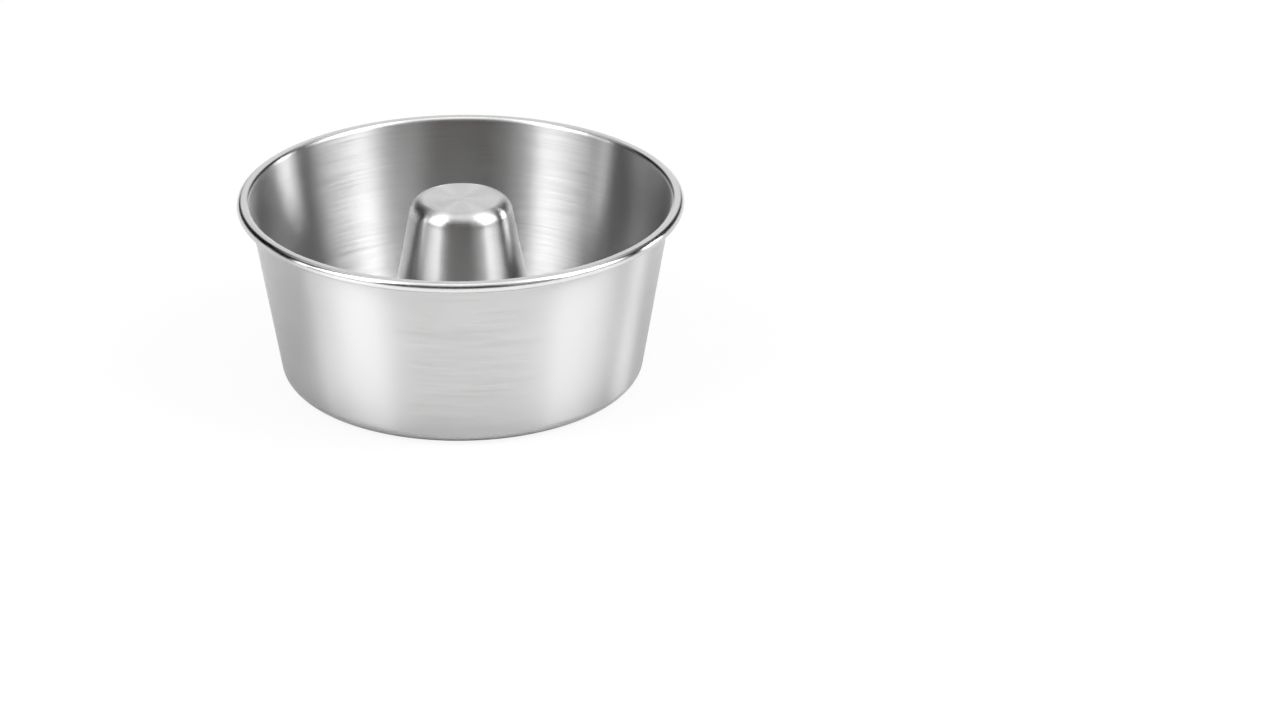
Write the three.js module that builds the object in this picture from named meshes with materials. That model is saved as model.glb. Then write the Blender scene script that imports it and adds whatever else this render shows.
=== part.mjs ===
// Pudding mould: a drawn steel pan with a flat-topped curled rim, and a closed centre cone
// whose foot is locked into the pan's floor by a folded seam.
// Millimetres, +Z up, origin in the middle of the plane that the pan stands on.
import * as THREE from 'three';

// Driving dimensions of the pan
const SHEET = 0.6; // thickness of the steel sheet, pan and cone alike
const RIM_DIAMETER = 220; // across the outside of the curled rim
const HEIGHT = 93.4; // standing plane to the flat top of the rim
const BASE_DIAMETER = 178.4; // outer wall face carried straight down to the standing plane
const BASE_CORNER = 8; // outer radius between wall and base
const STANDING_RING = 8; // width of the flat ring that touches the table
const RIM_OVERHANG = 5.6; // rim edge beyond the outer wall face, measured in the rim's top plane
const RIM_BEND = 2.5; // outside radius of the bend at the rim's inner edge
const RIM_BEAD = 5; // height of the curl, outside to outside
const CURL_GAP = 0.5; // tucked edge of the curl to the wall

// Driving dimensions of the cone
const CONE_HEIGHT = 91.5; // standing plane to the flat top of the cone
const CONE_FOOT_DIAMETER = 82.6; // outer side face carried straight down to the standing plane
const CONE_TOP_DIAMETER = 48.6; // outer side face carried straight up to the top plane
const CONE_SHOULDER = 6.9; // outside radius between side and top

// Driving dimensions of the lock seam between floor and cone
const SEAM_GAP = 0.3; // clearance between neighbouring sheets in the fold
const LOCK_LENGTH = 3; // how far the two hooks reach over each other
const SEAM_LIFT = 0.7; // underside of the seam above the standing plane
const SEAM_MARGIN = 2; // flat floor around the outside of the seam
const FLOOR_BEND = 6; // centre-line radius where the sloping floor meets its flats

// Fineness of the facets
const ROUND_STEPS = 60; // facets in a full turn
const BEND_TOLERANCE = 0.1; // most that a facet of a bend may stand off the true arc
const SAME_POINT = 1e-6; // points nearer than this are one point

const HALF_SHEET = SHEET / 2;
const RIM_RADIUS = RIM_DIAMETER / 2;

// Straight tapering side of a sheet, given by the outer face's radius at two heights.
function taperedSide(lowRadius, highRadius, highZ) {
  const slope = (highRadius - lowRadius) / highZ;
  const faceToCentre = HALF_SHEET * Math.hypot(1, slope);
  return {
    slope,
    outerRadius: (z) => lowRadius + slope * z,
    centreRadius: (z) => lowRadius + slope * z - faceToCentre,
  };
}

// Corner of a sheet's centre line: where its straight runs cross, and the bend's centre-line radius.
function corner(r, z, bend = 0) {
  return { at: new THREE.Vector2(r, z), bend };
}

// Unit direction from one corner to the next.
function runDirection(from, to) {
  return new THREE.Vector2().subVectors(to.at, from.at).normalize();
}

// A direction turned a quarter to the left.
function leftOf(direction) {
  return new THREE.Vector2(-direction.y, direction.x);
}

// Points of one bend on the face that lies `offset` to the left of the centre line.
function bendPoints(before, here, after, offset) {
  const into = runDirection(before, here);
  const turn = Math.atan2(into.cross(runDirection(here, after)), into.dot(runDirection(here, after)));
  const side = Math.sign(turn);
  const toCentre = leftOf(into).multiplyScalar(side);
  const tangentRun = here.bend * Math.tan(Math.abs(turn) / 2);
  const centre = here.at.clone().addScaledVector(into, -tangentRun).addScaledVector(toCentre, here.bend);
  const outsideRadius = here.bend + HALF_SHEET;
  const facetTurn = 2 * Math.acos(1 - BEND_TOLERANCE / outsideRadius);
  const steps = Math.max(2, Math.ceil(Math.abs(turn) / facetTurn));
  const faceRadius = here.bend - side * offset;
  const startAngle = toCentre.clone().negate().angle();
  const points = [];
  for (let step = 0; step <= steps; step += 1) {
    const angle = startAngle + (turn * step) / steps;
    points.push(new THREE.Vector2(Math.cos(angle), Math.sin(angle)).multiplyScalar(faceRadius).add(centre));
  }
  return points;
}

// One face of a bent sheet, as a line of points from its first end to its last.
function sheetFace(line, offset) {
  const last = line.length - 1;
  const firstNormal = leftOf(runDirection(line[0], line[1]));
  const lastNormal = leftOf(runDirection(line[last - 1], line[last]));
  const points = [line[0].at.clone().addScaledVector(firstNormal, offset)];
  for (let index = 1; index < last; index += 1) {
    points.push(...bendPoints(line[index - 1], line[index], line[index + 1], offset));
  }
  points.push(line[last].at.clone().addScaledVector(lastNormal, offset));
  return points.filter((point, index) => index === 0 || point.distanceTo(points[index - 1]) > SAME_POINT);
}

// Closed section of a bent sheet: along its right face and back along its left.
function sheetSection(line) {
  const rightFace = sheetFace(line, -HALF_SHEET);
  const leftFace = sheetFace(line, HALF_SHEET).reverse();
  const section = [...rightFace, ...leftFace];
  if (line[0].at.x > 0) {
    section.push(rightFace[0].clone());
  }
  return section;
}

// A sheet section turned once round the mould's axis.
function turnedSheet(name, line, material) {
  const mesh = new THREE.Mesh(new THREE.LatheGeometry(sheetSection(line), ROUND_STEPS), material);
  mesh.name = name;
  mesh.rotation.x = Math.PI / 2;
  return mesh;
}

function brushedSteel(color) {
  return new THREE.MeshStandardMaterial({ color, metalness: 1, roughness: 0.34 });
}

const wall = taperedSide(BASE_DIAMETER / 2, RIM_RADIUS - RIM_OVERHANG, HEIGHT);
const coneSide = taperedSide(CONE_FOOT_DIAMETER / 2, CONE_TOP_DIAMETER / 2, CONE_HEIGHT);

// The lock seam's four layers, from the table up: cone flange, floor lip, cone hook, floor.
const LAYER_PITCH = SHEET + SEAM_GAP;
const HOOK_BEND = LAYER_PITCH;
const FOOT_BEND = HOOK_BEND + LAYER_PITCH;
const flangeZ = SEAM_LIFT + HALF_SHEET;
const lipZ = flangeZ + LAYER_PITCH;
const hookZ = lipZ + LAYER_PITCH;
const floorZ = hookZ + LAYER_PITCH;
const lockInnerRadius = coneSide.centreRadius(hookZ) + FOOT_BEND * Math.hypot(1, coneSide.slope);
const lockOuterRadius = lockInnerRadius + LOCK_LENGTH;
const seamEdgeRadius = lockOuterRadius + HOOK_BEND + HALF_SHEET;

// The pan: from the floor's folded lip out along the floor, up the wall and round the rim's curl.
function mouldBody() {
  const baseBend = BASE_CORNER - HALF_SHEET;
  const baseRadius = wall.centreRadius(HALF_SHEET);
  const baseTurn = Math.PI / 2 - Math.atan(wall.slope);
  const ringInnerRadius = baseRadius - baseBend * Math.tan(baseTurn / 2) - STANDING_RING;
  const holeRadius = lockInnerRadius - HOOK_BEND;
  const rimZ = HEIGHT - HALF_SHEET;
  const curlRadius = RIM_RADIUS - HALF_SHEET;
  const curlBend = (RIM_BEAD - SHEET) / 2;
  const tuckZ = rimZ - 2 * curlBend;
  const tuckRadius = wall.outerRadius(tuckZ + HALF_SHEET) + CURL_GAP;
  const line = [
    corner(lockOuterRadius, lipZ),
    corner(holeRadius, lipZ, HOOK_BEND),
    corner(holeRadius, floorZ, HOOK_BEND),
    corner(seamEdgeRadius + SEAM_MARGIN, floorZ, FLOOR_BEND),
    corner(ringInnerRadius, HALF_SHEET, FLOOR_BEND),
    corner(baseRadius, HALF_SHEET, baseBend),
    corner(wall.centreRadius(rimZ), rimZ, RIM_BEND - HALF_SHEET),
    corner(curlRadius, rimZ, curlBend),
    corner(curlRadius, tuckZ, curlBend),
    corner(tuckRadius, tuckZ),
  ];
  return turnedSheet('mould_body', line, brushedSteel(0xc9c9ca));
}

// The cone: from its closed top down the side, out under the floor's lip and back into the fold.
function centreCone() {
  const topZ = CONE_HEIGHT - HALF_SHEET;
  const flangeRadius = lockOuterRadius + HOOK_BEND;
  const line = [
    corner(0, topZ),
    corner(coneSide.centreRadius(topZ), topZ, CONE_SHOULDER - HALF_SHEET),
    corner(coneSide.centreRadius(flangeZ), flangeZ, FOOT_BEND),
    corner(flangeRadius, flangeZ, HOOK_BEND),
    corner(flangeRadius, hookZ, HOOK_BEND),
    corner(lockInnerRadius, hookZ),
  ];
  return turnedSheet('centre_cone', line, brushedSteel(0xc4c4c6));
}

const mould = new THREE.Group();
mould.name = 'pudding_mould';
mould.add(mouldBody(), centreCone());

export default mould;
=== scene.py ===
"""Pudding mould of brushed steel on a pale studio floor.

The two sheets are bent again here from the same sizes as the solids, with fine arcs, and stand for
them. Everything is in the solids' frame: metres, +Z up, origin in the middle of the standing plane.
"""
import bmesh
import bpy
import math
from mathutils import Matrix, Vector


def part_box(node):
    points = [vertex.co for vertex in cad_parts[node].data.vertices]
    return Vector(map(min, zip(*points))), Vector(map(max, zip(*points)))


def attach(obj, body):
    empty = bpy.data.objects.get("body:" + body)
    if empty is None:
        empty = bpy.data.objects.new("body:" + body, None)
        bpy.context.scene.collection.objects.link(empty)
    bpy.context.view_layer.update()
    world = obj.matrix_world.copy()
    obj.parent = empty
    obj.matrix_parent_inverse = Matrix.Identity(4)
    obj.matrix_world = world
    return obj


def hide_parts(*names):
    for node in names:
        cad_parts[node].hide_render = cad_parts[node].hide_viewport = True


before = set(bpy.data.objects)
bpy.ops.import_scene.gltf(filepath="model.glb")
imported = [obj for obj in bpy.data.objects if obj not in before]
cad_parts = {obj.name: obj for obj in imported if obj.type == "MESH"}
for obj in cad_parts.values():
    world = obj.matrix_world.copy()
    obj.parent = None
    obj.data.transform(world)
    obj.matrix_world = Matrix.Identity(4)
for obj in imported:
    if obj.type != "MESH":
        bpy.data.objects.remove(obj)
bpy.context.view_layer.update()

# Sizes of the sheets in metres, as in the solids
MM = 0.001
SHEET = 0.6 * MM
BASE_RADIUS = 89.2 * MM
BASE_CORNER = 8 * MM
STANDING_RING = 8 * MM
RIM_OVERHANG = 5.6 * MM
RIM_BEND = 2.5 * MM
RIM_BEAD = 5 * MM
CURL_GAP = 0.5 * MM
CONE_FOOT_RADIUS = 41.3 * MM
CONE_TOP_RADIUS = 24.3 * MM
CONE_SHOULDER = 6.9 * MM
SEAM_GAP = 0.3 * MM
LOCK_LENGTH = 3 * MM
SEAM_LIFT = 0.7 * MM
SEAM_MARGIN = 2 * MM
FLOOR_BEND = 6 * MM
HALF_SHEET = SHEET / 2
RIM_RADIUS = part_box("mould_body")[1].x
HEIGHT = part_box("mould_body")[1].z
CONE_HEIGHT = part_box("centre_cone")[1].z
WALL_SLOPE = (RIM_RADIUS - RIM_OVERHANG - BASE_RADIUS) / HEIGHT
CONE_SLOPE = (CONE_FOOT_RADIUS - CONE_TOP_RADIUS) / CONE_HEIGHT

# Fineness of the meshes
ROUND_STEPS = 288
BEND_STEP = math.radians(4)
SHARP_ANGLE = math.radians(40)
SAME_POINT = 1e-7

# Finish of the steel: how rough each part is, then the fine grain and the brush lines round the axis
STEEL_COLOUR = 0.5
WALL_ROUGHNESS = 0.34
RIM_ROUGHNESS = 0.18
CONE_ROUGHNESS = 0.37
SHOULDER_ROUGHNESS = 0.3
TOP_ROUGHNESS = 0.22
QUARTER_TURN = 0.25  # turns the long side of a highlight from round the axis to along the section
NOISE_DETAIL = 3.0
NOISE_MIDDLE = 0.5
GRAIN_PER_METRE = 3600
GRAIN_TURNS = 2.0
GRAIN_TILT = 0.2
LINES_PER_METRE = 1700
LINES_TURNS = 3.0
LINES_RANGE = (0.3, 0.7)  # noise values at which a line is smoothest and roughest
LINES_IN_ROUGHNESS = 0.1
LINES_IN_COLOUR = 0.16
LINES_TILT = 0.12
OUTSIDE_LINES = 0.15  # share of the lines that shows on the outside of the pan
SMOOTH_LINES = 0.2  # share of the lines that shows on the cone's shoulder and top
SMOOTH_EDGE = 1 * MM
TOP_EDGE = 3 * MM
AXIS_RADIUS = 1 * MM  # least distance from the axis at which the lines still follow the turn

# Camera, found from the outlines of rim, wall, base and cone in the photograph
PHOTO_WIDTH = 1280
PHOTO_HEIGHT = 720
FOCAL_PX = 4000
BASE_CENTRE_PX = (463.2, 367.0)
BASE_CENTRE_DEPTH = 2.007
CAMERA_PITCH = math.radians(24.91)
CAMERA_ROLL = math.radians(0.39)
SENSOR_WIDTH = 36

# Studio: directions in degrees, turned from the camera's side towards +X, and heights above the floor plane
WHITE = (1, 1, 1, 1)
FLOOR_RADIUS = 12.0
FLOOR_STEPS = 96
FLOOR_DROP = 0.0002
FLOOR_COLOUR = (0.66, 0.66, 0.66, 1)
FLOOR_SEEN_WHITE = 0.9
# Painted glow on the floor: patches by turn round the mould that shine only in the steel's reflections
FLOOR_PAINTED_GLOWS = (  # turn from, to, soft edge, level
    (-66, 85, 20, 0.5),
    (-66, -34, 16, 0.28),
)
# The painted glow fades in from here, so the floor next to the base stays unlit in reflections
PAINTED_GLOW_START = (BASE_RADIUS + 5 * MM, BASE_RADIUS + 30 * MM)
SOFT_BOXES = (  # turn from, to, soft edge, height from, to, soft edge, level
    (-81, -44, 3, 22, 68, 10, 7.4),
    (-89, -81, 3, 11, 27, 3, 6.5),
    (57, 96, 4, 22, 68, 10, 8.0),
    (28, 57, 8, 22, 68, 10, 0.7),
    (107, 121, 4, 8, 20, 4, 13.0),
)
HORIZON_TURN = (94, 108)  # from the front towards either side, dark to bright
HORIZON_HEIGHT = (6, 13)  # bright to dark
BACKDROP_TURN = (160, 172)
BACKDROP_HEIGHT = (30, 46)
BACKDROP_LEVEL = 1.25
HIGH_BACK_TURN = (95, 150)
HIGH_BACK_HEIGHT = (36, 54)
HIGH_BACK_LEVEL = 1.4
OVERHEAD_LEAN = math.radians(6)
OVERHEAD_SIZE = (23, 31)  # away from its middle, bright to dark
OVERHEAD_LEVEL = 1.3
FRONT_TURN = (-35, 35, 20)
FRONT_HEIGHT = (34, 60)
FRONT_LEVEL = 0.06
FRONT_COLOUR = (1.0, 0.75, 0.55, 1)


def turn_left(direction):
    """A direction of the section turned a quarter to the left."""
    return Vector((-direction.y, direction.x))


def bend_points(before, here, after, bend, offset):
    """Points of one bend on the face that lies offset to the left of the sheet's centre line."""
    into = (here - before).normalized()
    out = (after - here).normalized()
    turn = math.atan2(into.x * out.y - into.y * out.x, into.dot(out))
    side = math.copysign(1, turn)
    to_centre = turn_left(into) * side
    centre = here - into * bend * math.tan(abs(turn) / 2) + to_centre * bend
    start = math.atan2(-to_centre.y, -to_centre.x)
    steps = max(2, math.ceil(abs(turn) / BEND_STEP))
    radius = bend - side * offset
    angles = [start + turn * step / steps for step in range(steps + 1)]
    return [centre + Vector((math.cos(angle), math.sin(angle))) * radius for angle in angles]


def sheet_face(line, offset):
    """One face of a bent sheet from its first end to its last. The line holds (radius, height, bend)."""
    corners = [Vector(row[:2]) for row in line]
    points = [corners[0] + turn_left((corners[1] - corners[0]).normalized()) * offset]
    for before, here, after, row in zip(corners, corners[1:], corners[2:], line[1:]):
        for point in bend_points(before, here, after, row[2], offset):
            if (point - points[-1]).length > SAME_POINT:
                points.append(point)
    points.append(corners[-1] + turn_left((corners[-1] - corners[-2]).normalized()) * offset)
    return points


def turned_sheet(name, line):
    """A bent sheet turned once round Z, as a closed mesh of quads."""
    section = sheet_face(line, -HALF_SHEET) + sheet_face(line, HALF_SHEET)[::-1]
    mesh = bmesh.new()
    rings = []
    for point in section:
        if point.x < SAME_POINT:
            rings.append([mesh.verts.new((0, 0, point.y))])
            continue
        ring = []
        for step in range(ROUND_STEPS):
            angle = 2 * math.pi * step / ROUND_STEPS
            ring.append(mesh.verts.new((point.x * math.cos(angle), point.x * math.sin(angle), point.y)))
        rings.append(ring)
    for low, high in zip(rings, rings[1:] + rings[:1]):
        if len(low) == 1 and len(high) == 1:
            continue
        for step in range(ROUND_STEPS):
            follow = (step + 1) % ROUND_STEPS
            corners = [
                low[step % len(low)],
                low[follow % len(low)],
                high[follow % len(high)],
                high[step % len(high)],
            ]
            mesh.faces.new(list(dict.fromkeys(corners)))
    bmesh.ops.recalc_face_normals(mesh, faces=mesh.faces)
    for face in mesh.faces:
        face.smooth = True
    for edge in mesh.edges:
        edge.smooth = edge.calc_face_angle(0) < SHARP_ANGLE
    data = bpy.data.meshes.new(name)
    mesh.to_mesh(data)
    mesh.free()
    piece = bpy.data.objects.new(name, data)
    bpy.context.collection.objects.link(piece)
    return piece


def side_radius(low_radius, high_radius, high_z, z):
    """Centre-line radius at height z of a straight side whose outer face passes two radii."""
    slope = (high_radius - low_radius) / high_z
    return low_radius + slope * z - HALF_SHEET * math.hypot(1, slope)


def wall_radius(z):
    return side_radius(BASE_RADIUS, RIM_RADIUS - RIM_OVERHANG, HEIGHT, z)


def cone_radius(z):
    return side_radius(CONE_FOOT_RADIUS, CONE_TOP_RADIUS, CONE_HEIGHT, z)


# Where the smoother parts start: the rim's inner bend, the cone's shoulder and top, the base corner
RIM_INNER = wall_radius(HEIGHT - RIM_BEND)
SHOULDER_Z = CONE_HEIGHT - CONE_SHOULDER
TOP_FLAT = CONE_TOP_RADIUS - CONE_SHOULDER
BASE_SMOOTH_Z = (BASE_CORNER / 4, BASE_CORNER)
BASE_SMOOTH_RADIUS = (BASE_RADIUS - BASE_CORNER, BASE_RADIUS - BASE_CORNER / 2)

# Layers of the folded seam, from the table up
LAYER_PITCH = SHEET + SEAM_GAP
FOOT_BEND = 2 * LAYER_PITCH
FLANGE_Z = SEAM_LIFT + HALF_SHEET
LIP_Z = FLANGE_Z + LAYER_PITCH
HOOK_Z = LIP_Z + LAYER_PITCH
FLOOR_Z = HOOK_Z + LAYER_PITCH
LOCK_INNER = cone_radius(HOOK_Z) + FOOT_BEND * math.hypot(1, CONE_SLOPE)
LOCK_OUTER = LOCK_INNER + LOCK_LENGTH
SEAM_EDGE = LOCK_OUTER + LAYER_PITCH + HALF_SHEET


def pan_line():
    """Centre line of the pan: folded lip, floor, wall, rim and curl."""
    base_bend = BASE_CORNER - HALF_SHEET
    base_radius = wall_radius(HALF_SHEET)
    base_turn = math.pi / 2 - math.atan(WALL_SLOPE)
    ring_inner = base_radius - base_bend * math.tan(base_turn / 2) - STANDING_RING
    hole = LOCK_INNER - LAYER_PITCH
    rim_z = HEIGHT - HALF_SHEET
    curl_bend = (RIM_BEAD - SHEET) / 2
    tuck_z = rim_z - 2 * curl_bend
    tuck_radius = BASE_RADIUS + WALL_SLOPE * (tuck_z + HALF_SHEET) + CURL_GAP
    return [
        (LOCK_OUTER, LIP_Z, 0),
        (hole, LIP_Z, LAYER_PITCH),
        (hole, FLOOR_Z, LAYER_PITCH),
        (SEAM_EDGE + SEAM_MARGIN, FLOOR_Z, FLOOR_BEND),
        (ring_inner, HALF_SHEET, FLOOR_BEND),
        (base_radius, HALF_SHEET, base_bend),
        (wall_radius(rim_z), rim_z, RIM_BEND - HALF_SHEET),
        (RIM_RADIUS - HALF_SHEET, rim_z, curl_bend),
        (RIM_RADIUS - HALF_SHEET, tuck_z, curl_bend),
        (tuck_radius, tuck_z, 0),
    ]


def cone_line():
    """Centre line of the cone: closed top, shoulder, side, foot flange and hook."""
    top_z = CONE_HEIGHT - HALF_SHEET
    flange = LOCK_OUTER + LAYER_PITCH
    return [
        (0, top_z, 0),
        (cone_radius(top_z), top_z, CONE_SHOULDER - HALF_SHEET),
        (cone_radius(FLANGE_Z), FLANGE_Z, FOOT_BEND),
        (flange, FLANGE_Z, LAYER_PITCH),
        (flange, HOOK_Z, LAYER_PITCH),
        (LOCK_INNER, HOOK_Z, 0),
    ]


class Graph:
    """Short way to write node trees: each call adds a node, and its inputs are numbers or sockets."""

    def __init__(self, tree):
        self.tree = tree
        tree.nodes.clear()

    def add(self, kind, inputs=None, **settings):
        node = self.tree.nodes.new(kind)
        for name, value in settings.items():
            setattr(node, name, value)
        for key, value in (inputs or {}).items():
            if isinstance(value, bpy.types.NodeSocket):
                self.tree.links.new(value, node.inputs[key])
            else:
                node.inputs[key].default_value = value
        return node

    def math(self, operation, *values):
        return self.add("ShaderNodeMath", dict(enumerate(values)), operation=operation).outputs[0]

    def ramp(self, value, start, end, low=0.0, high=1.0):
        """Smooth step of a value from low at start to high at end."""
        inputs = {"Value": value, "From Min": start, "From Max": end, "To Min": low, "To Max": high}
        return self.add("ShaderNodeMapRange", inputs, interpolation_type="SMOOTHSTEP").outputs["Result"]

    def mix(self, share, low, high):
        """Low where the share is nought, high where it is one."""
        inputs = {"Value": share, "To Min": low, "To Max": high}
        return self.add("ShaderNodeMapRange", inputs).outputs["Result"]

    def vector(self, operation, *values):
        return self.add("ShaderNodeVectorMath", dict(enumerate(values)), operation=operation).outputs[0]

    def spread(self, noise, width):
        """Noise as a number round nought."""
        return self.math("MULTIPLY", self.math("SUBTRACT", noise, NOISE_MIDDLE), width)

    def length(self, x, y):
        return self.math("SQRT", self.math("ADD", self.math("MULTIPLY", x, x), self.math("MULTIPLY", y, y)))

    def turn(self, x, y):
        """Direction in degrees from the camera's side towards +X."""
        return self.math("DEGREES", self.math("ARCTAN2", x, self.math("MULTIPLY", y, -1.0)))

    def turned_noise(self, x, y, z, radius, per_metre, turns):
        """Noise that is fine along a section of the mould and long round its axis."""
        safe_radius = self.math("MAXIMUM", radius, AXIS_RADIUS)
        around = {
            "X": self.math("MULTIPLY", self.math("DIVIDE", x, safe_radius), turns),
            "Y": self.math("MULTIPLY", self.math("DIVIDE", y, safe_radius), turns),
            "Z": self.math("MULTIPLY", z, per_metre),
        }
        inputs = {
            "Vector": self.add("ShaderNodeCombineXYZ", around).outputs[0],
            "W": self.math("MULTIPLY", radius, per_metre),
            "Scale": 1.0,
            "Detail": NOISE_DETAIL,
        }
        return self.add("ShaderNodeTexNoise", inputs, noise_dimensions="4D").outputs[0]

    def both(self, first, second):
        """Share of what is inside two soft limits at once."""
        return self.math("MULTIPLY", first, second)

    def window(self, value, start, end, soft):
        """One inside start to end, nought outside, with soft edges."""
        rise = self.ramp(value, start - soft, start + soft)
        fall = self.ramp(value, end - soft, end + soft, 1.0, 0.0)
        return self.both(rise, fall)


def brushed_steel(name, colour, finish):
    """Steel brushed round the axis, so that reflections are drawn out along the section.

    Finish takes the graph, the distance from the axis and the height, and gives how rough the steel is
    there and how much its brush lines show.
    """
    material = bpy.data.materials.new(name)
    material.use_nodes = True
    graph = Graph(material.node_tree)
    place = graph.add("ShaderNodeTexCoord").outputs["Object"]
    split = graph.add("ShaderNodeSeparateXYZ", {0: place})
    x, y, z = split.outputs
    radius = graph.length(x, y)
    grain = graph.turned_noise(x, y, z, radius, GRAIN_PER_METRE, GRAIN_TURNS)
    lines = graph.turned_noise(x, y, z, radius, LINES_PER_METRE, LINES_TURNS)
    rough, lined = finish(graph, radius, z)
    lines_rough = graph.ramp(lines, *LINES_RANGE, 1 - LINES_IN_ROUGHNESS, 1 + LINES_IN_ROUGHNESS)
    rough = graph.math("MULTIPLY", rough, lines_rough)
    shade = graph.math("MULTIPLY", graph.spread(lines, LINES_IN_COLOUR), lined)
    shade = graph.math("MULTIPLY", graph.math("ADD", shade, 1.0), colour)
    away = graph.add("ShaderNodeNewGeometry").outputs["Normal"]
    around = graph.add("ShaderNodeCombineXYZ", {"X": graph.math("MULTIPLY", y, -1.0), "Y": x}).outputs[0]
    along = graph.vector("NORMALIZE", graph.vector("CROSS_PRODUCT", around, away))
    tilt = graph.math("ADD", graph.spread(grain, GRAIN_TILT), graph.spread(lines, LINES_TILT))
    tilt = graph.math("MULTIPLY", tilt, lined)
    groove = graph.add("ShaderNodeVectorMath", {0: along, "Scale": tilt}, operation="SCALE").outputs[0]
    normal = graph.vector("NORMALIZE", graph.vector("ADD", away, groove))
    tangent = graph.add("ShaderNodeTangent", direction_type="RADIAL", axis="Z")
    steel = graph.add("ShaderNodeBsdfPrincipled", {
        "Base Color": shade,
        "Metallic": 1.0,
        "Roughness": rough,
        "Anisotropic": 1.0,
        "Anisotropic Rotation": QUARTER_TURN,
        "Normal": normal,
        "Tangent": tangent.outputs[0],
    })
    graph.add("ShaderNodeOutputMaterial", {"Surface": steel.outputs[0]})
    return material


def pan_finish(graph, radius, z):
    """The rim and the base corner are smooth, and the brush lines show less outside than inside."""
    rim = graph.ramp(radius, RIM_INNER, RIM_INNER + SMOOTH_EDGE)
    base = graph.both(graph.ramp(z, *BASE_SMOOTH_Z, 1, 0), graph.ramp(radius, *BASE_SMOOTH_RADIUS))
    beyond_wall = graph.math("SUBTRACT", radius, graph.math("MULTIPLY", z, WALL_SLOPE))
    lined = graph.ramp(beyond_wall, BASE_RADIUS - SHEET, BASE_RADIUS, 1.0, OUTSIDE_LINES)
    return graph.mix(graph.math("MAXIMUM", rim, base), WALL_ROUGHNESS, RIM_ROUGHNESS), lined


def cone_finish(graph, radius, z):
    """The shoulder is smoother than the side and the top smoother still, and both have weaker lines."""
    shoulder = graph.ramp(z, SHOULDER_Z - SMOOTH_EDGE, SHOULDER_Z + SMOOTH_EDGE)
    top = graph.ramp(radius, TOP_FLAT, TOP_FLAT + TOP_EDGE, 1.0, 0.0)
    rough = graph.mix(shoulder, CONE_ROUGHNESS, SHOULDER_ROUGHNESS)
    rough = graph.mix(graph.both(shoulder, top), rough, TOP_ROUGHNESS)
    return rough, graph.mix(shoulder, 1.0, SMOOTH_LINES)


def steel_piece(node, name, line, material):
    """A smooth bent sheet that stands for its solid."""
    piece = turned_sheet(name, line)
    piece.data.materials.append(material)
    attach(piece, "root")
    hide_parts(node)


pan_steel = brushed_steel("pan_brushed_steel", STEEL_COLOUR, pan_finish)
cone_steel = brushed_steel("cone_brushed_steel", STEEL_COLOUR, cone_finish)
steel_piece("mould_body", "pan_sheet", pan_line(), pan_steel)
steel_piece("centre_cone", "cone_sheet", cone_line(), cone_steel)


def studio_floor():
    """Pale floor that shows as white, keeps the mould's shadow and has a painted glow seen only in
    reflections.
    """
    mesh = bmesh.new()
    bmesh.ops.create_circle(mesh, cap_ends=True, segments=FLOOR_STEPS, radius=FLOOR_RADIUS)
    data = bpy.data.meshes.new("studio_floor")
    mesh.to_mesh(data)
    mesh.free()
    floor = bpy.data.objects.new("studio_floor", data)
    floor.location.z = -FLOOR_DROP
    bpy.context.collection.objects.link(floor)
    material = bpy.data.materials.new("pale_floor")
    material.use_nodes = True
    graph = Graph(material.node_tree)
    material.cycles.emission_sampling = "NONE"
    place = graph.add("ShaderNodeTexCoord").outputs["Object"]
    x, y, _ = graph.add("ShaderNodeSeparateXYZ", {0: place}).outputs
    radius = graph.length(x, y)
    turn = graph.turn(x, y)
    # Painted glow: floor patches by turn round the mould, seen only by reflected rays and added to the lit
    # floor
    painted_glow_level = 0.0
    for start, end, soft, level in FLOOR_PAINTED_GLOWS:
        patch = graph.math("MULTIPLY", graph.window(turn, start, end, soft), level)
        painted_glow_level = graph.math("ADD", painted_glow_level, patch)
    painted_glow_level = graph.math("MULTIPLY", painted_glow_level, graph.ramp(radius, *PAINTED_GLOW_START))
    path = graph.add("ShaderNodeLightPath").outputs
    mirrored = graph.math("MAXIMUM", path["Is Glossy Ray"], path["Is Transmission Ray"])
    mirrored_painted_glow = graph.math("MULTIPLY", mirrored, painted_glow_level)
    glow = graph.add("ShaderNodeEmission", {"Color": WHITE, "Strength": mirrored_painted_glow})
    paint = graph.add("ShaderNodeBsdfDiffuse", {"Color": FLOOR_COLOUR})
    lit = graph.add("ShaderNodeAddShader", {0: paint.outputs[0], 1: glow.outputs[0]})
    white = graph.add("ShaderNodeEmission", {"Color": WHITE, "Strength": 1.0})
    seen = graph.math("MULTIPLY", path["Is Camera Ray"], FLOOR_SEEN_WHITE)
    mixed = graph.add("ShaderNodeMixShader", {0: seen, 1: lit.outputs[0], 2: white.outputs[0]})
    graph.add("ShaderNodeOutputMaterial", {"Surface": mixed.outputs[0]})
    data.materials.append(material)


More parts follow.
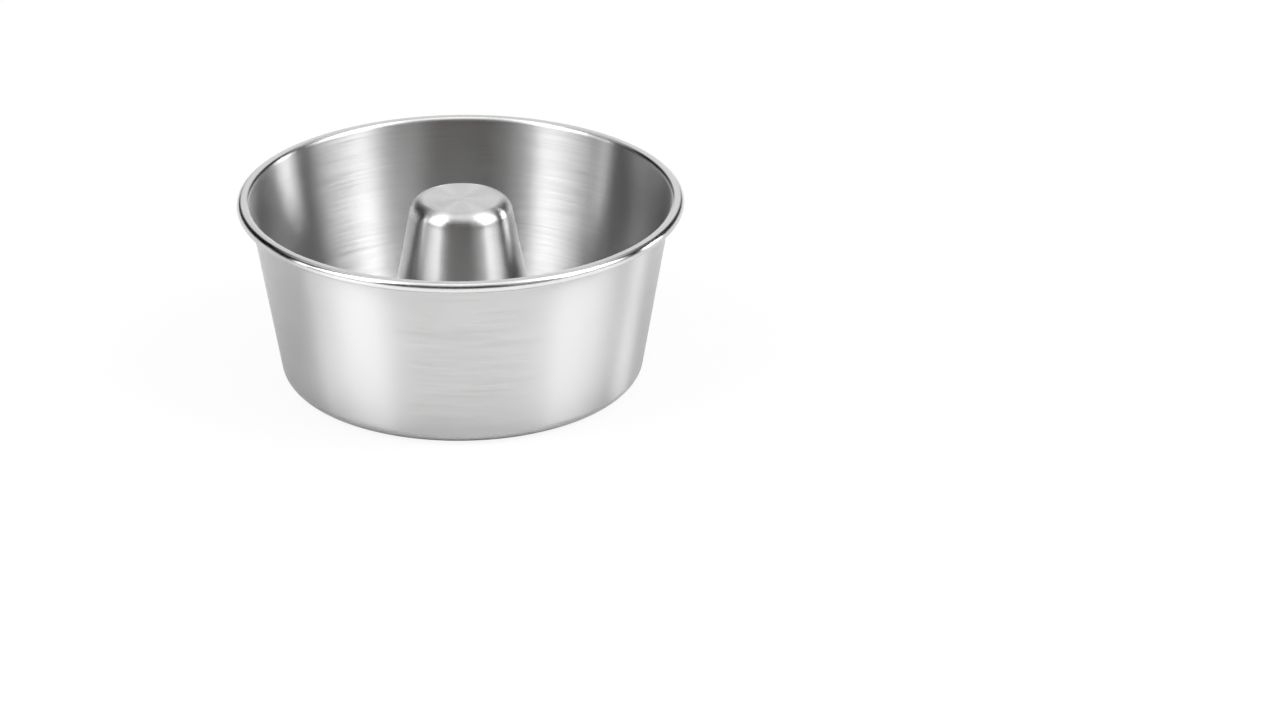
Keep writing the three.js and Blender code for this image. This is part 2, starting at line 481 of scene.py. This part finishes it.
def studio_world():
    """Studio round the mould: boxes, strips, backdrop, horizon, light from above and a dim warm front."""
    world = bpy.data.worlds.new("studio")
    world.use_nodes = True
    bpy.context.scene.world = world
    graph = Graph(world.node_tree)
    way = graph.add("ShaderNodeTexCoord").outputs["Generated"]
    x, y, z = graph.add("ShaderNodeSeparateXYZ", {0: way}).outputs
    turn = graph.turn(x, y)
    from_front = graph.math("ABSOLUTE", turn)
    height = graph.math("DEGREES", graph.math("ARCSINE", z))
    panels = []
    for start, end, soft, low, high, height_soft, level in SOFT_BOXES:
        box = graph.both(graph.window(turn, start, end, soft), graph.window(height, low, high, height_soft))
        panels.append((box, level))
    below_top = graph.ramp(height, *BACKDROP_HEIGHT, 1, 0)
    backdrop = graph.both(graph.ramp(from_front, *BACKDROP_TURN), below_top)
    horizon = graph.both(graph.ramp(from_front, *HORIZON_TURN), graph.ramp(height, *HORIZON_HEIGHT, 1, 0))
    panels.append((graph.math("MAXIMUM", backdrop, horizon), BACKDROP_LEVEL))
    high_back = graph.both(graph.ramp(from_front, *HIGH_BACK_TURN), graph.ramp(height, *HIGH_BACK_HEIGHT))
    panels.append((high_back, HIGH_BACK_LEVEL))
    up = (0, -math.sin(OVERHEAD_LEAN), math.cos(OVERHEAD_LEAN))
    lean = graph.add("ShaderNodeVectorMath", {0: way, 1: up}, operation="DOT_PRODUCT").outputs["Value"]
    from_up = graph.math("DEGREES", graph.math("ARCCOSINE", lean))
    panels.append((graph.ramp(from_up, *OVERHEAD_SIZE, 1, 0), OVERHEAD_LEVEL))
    light = 0.0
    for share, level in panels:
        light = graph.math("ADD", light, graph.math("MULTIPLY", share, level))
    front = graph.both(graph.window(turn, *FRONT_TURN), graph.ramp(height, *FRONT_HEIGHT, 1, 0))
    front_light = graph.math("MULTIPLY", front, FRONT_LEVEL)
    white = graph.add("ShaderNodeBackground", {"Color": WHITE, "Strength": light})
    warm = graph.add("ShaderNodeBackground", {"Color": FRONT_COLOUR, "Strength": front_light})
    sky = graph.add("ShaderNodeAddShader", {0: white.outputs[0], 1: warm.outputs[0]})
    graph.add("ShaderNodeOutputWorld", {"Surface": sky.outputs[0]})


def photo_camera():
    """Camera at the photograph's viewing angle, from the fitted pitch, roll, depth and base centre.

    Up, right, away and base are in the picture's axes: x to the right, y down and z into the picture.
    """
    up = Vector((
        math.sin(CAMERA_ROLL) * math.cos(CAMERA_PITCH),
        -math.cos(CAMERA_ROLL) * math.cos(CAMERA_PITCH),
        -math.sin(CAMERA_PITCH),
    ))
    right = Vector((1, 0, 0)) - up * up.x
    right.normalize()
    away = up.cross(right)
    base = Vector((
        (BASE_CENTRE_PX[0] - PHOTO_WIDTH / 2) / FOCAL_PX * BASE_CENTRE_DEPTH,
        (BASE_CENTRE_PX[1] - PHOTO_HEIGHT / 2) / FOCAL_PX * BASE_CENTRE_DEPTH,
        BASE_CENTRE_DEPTH,
    ))
    to_world = Matrix((right, away, up))
    looks = to_world @ Matrix.Diagonal((1, -1, -1))
    data = bpy.data.cameras.new("photo_camera")
    data.sensor_width = SENSOR_WIDTH
    data.lens = FOCAL_PX / PHOTO_WIDTH * SENSOR_WIDTH
    camera = bpy.data.objects.new("photo_camera", data)
    camera.matrix_world = Matrix.Translation(-(to_world @ base)) @ looks.to_4x4()
    bpy.context.collection.objects.link(camera)
    bpy.context.scene.camera = camera


studio_floor()
studio_world()
photo_camera()
bpy.context.scene.view_settings.view_transform = "Standard"
